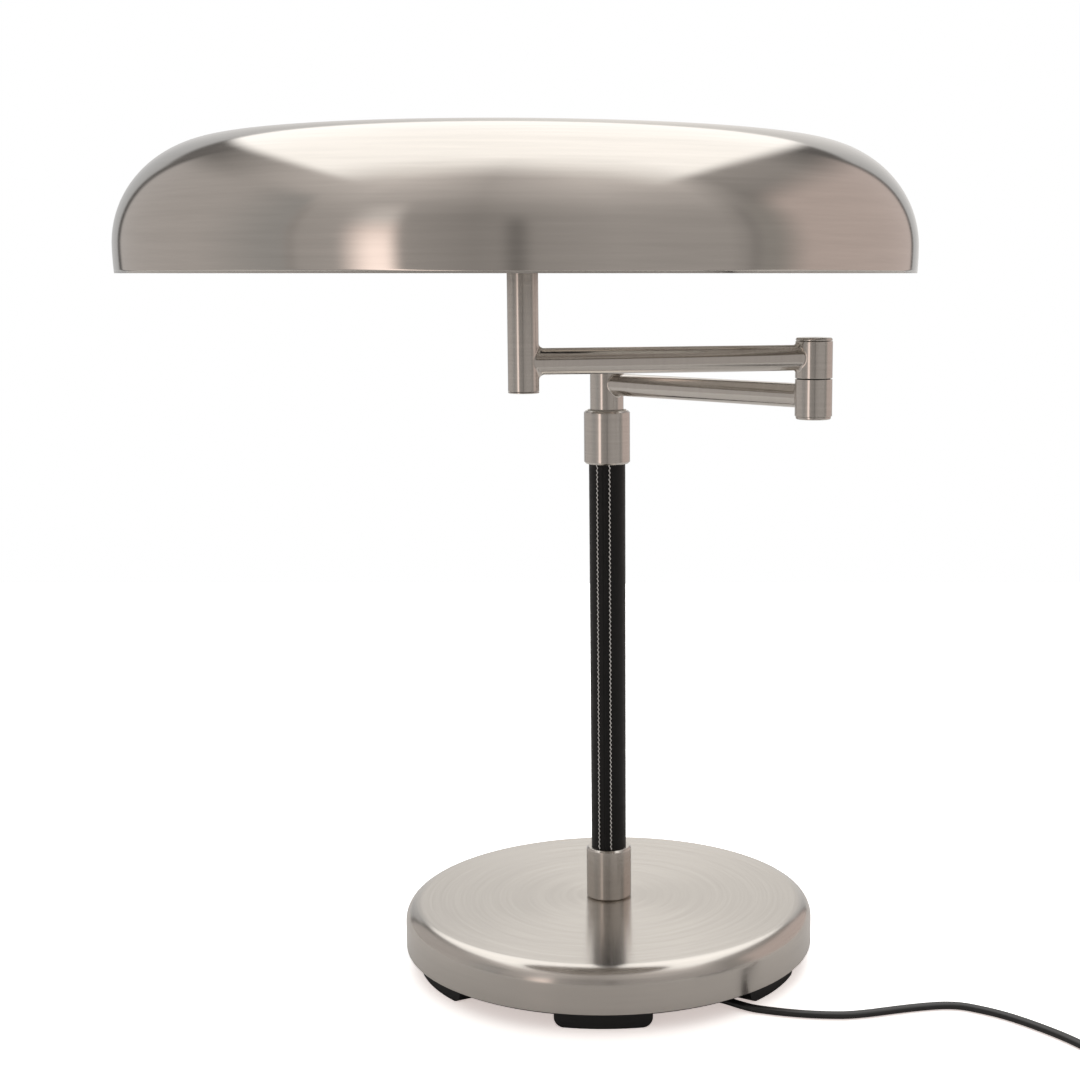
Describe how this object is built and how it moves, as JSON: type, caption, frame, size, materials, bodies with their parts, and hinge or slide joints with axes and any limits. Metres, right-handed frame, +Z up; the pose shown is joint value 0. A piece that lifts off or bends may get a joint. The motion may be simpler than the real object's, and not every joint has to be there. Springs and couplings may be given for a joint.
{
  "type": "desk lamp",
  "caption": "Desk lamp with a round weighted base, leather covered stem, folding swing arm with a hollow elbow, and a wide spun metal dome shade over horizontal bulbs.",
  "frame": {"origin": "on the stem's axis, at the level of the table under the rubber pads", "axes": "+Z up along the stem; -Y towards the viewer of the picture; the elbow is to the right (+X) and in front (-Y)"},
  "size_m": [0.5362, 0.424, 0.4305],
  "materials": {
    "brushed_nickel": "fine brushed, satin",
    "shade_nickel": "spun and brushed round the axis, satin",
    "sleeve_leather": "fine grain, off-white stitching",
    "plate_black": "matt black",
    "pad_rubber": "matt",
    "weight_iron": "as cast, painted",
    "zinc_steel": "zinc plated",
    "brass": "turned",
    "bush_nylon": "natural nylon",
    "holder_black": "moulded",
    "bulb_glass": "opal",
    "lead_white": "sheathed lead",
    "cord_black": "flat two-core cord, satin",
    "tie_black": "woven hook strap",
    "switch_black": "satin moulded",
    "plug_black": "moulded",
    "pin_nickel": "nickel plated"
  },
  "bodies": {
    "stand": {"base_cover": "brushed_nickel", "base_weight": "weight_iron", "bottom_plate": "plate_black", "foot_pads": "pad_rubber", "plate_screws": "zinc_steel", "stem_tube": "zinc_steel", "stem_washer": "zinc_steel", "stem_nut": "brass", "leather_sleeve": "sleeve_leather", "lower_collar": "brushed_nickel", "upper_collar": "brushed_nickel", "swivel_bush": "bush_nylon", "stem_lead": "lead_white", "cord_gland": "cord_black", "cord_relief": "cord_black", "cord_lead": "cord_black", "cord_link": "cord_black", "cord_coil": "cord_black", "cord_tail": "cord_black", "cord_tie": "tie_black", "switch_base": "switch_black", "switch_cover": "switch_black", "plug_body": "plug_black", "plug_pins": "pin_nickel"},
    "lower_arm": {"swivel_post": "brushed_nickel", "swivel_clip": "zinc_steel", "lower_arm_tube": "brushed_nickel", "lower_arm_welds": "brushed_nickel", "lower_knuckle": "brushed_nickel", "knuckle_foot_cap": "brushed_nickel", "elbow_pivot": "brass", "spring_washer": "zinc_steel", "pivot_nut": "brass", "lower_arm_lead": "lead_white"},
    "upper_arm": {"upper_knuckle": "brushed_nickel", "knuckle_top_cap": "brushed_nickel", "elbow_washer": "bush_nylon", "upper_arm_tube": "brushed_nickel", "arm_welds": "brushed_nickel", "shade_post": "brushed_nickel", "post_end_cap": "brushed_nickel", "upper_arm_lead": "lead_white", "shade": "shade_nickel", "shade_hub": "zinc_steel", "cross_tube": "brass", "lampholders": "holder_black", "bulb_caps": "brass", "bulbs": "bulb_glass"},
    "rocker": {"switch_rocker": "switch_black"}
  },
  "joints": [
    {"name": "post_swivel", "type": "hinge", "parent": "stand", "child": "lower_arm", "pos_m": [0, 0, 0.31], "axis": [0, 0, 1], "range_deg": [-170, 170]},
    {"name": "elbow", "type": "hinge", "parent": "lower_arm", "child": "upper_arm", "pos_m": [0.10054, -0.09743, 0.3202], "axis": [0, 0, 1], "range_deg": [-51, 288]},
    {"name": "rocker_tip", "type": "hinge", "parent": "stand", "child": "rocker", "pos_m": [0.246, -0.199, 0.0125], "axis": [1, 0, 0], "range_deg": [0, 16]}
  ]
}
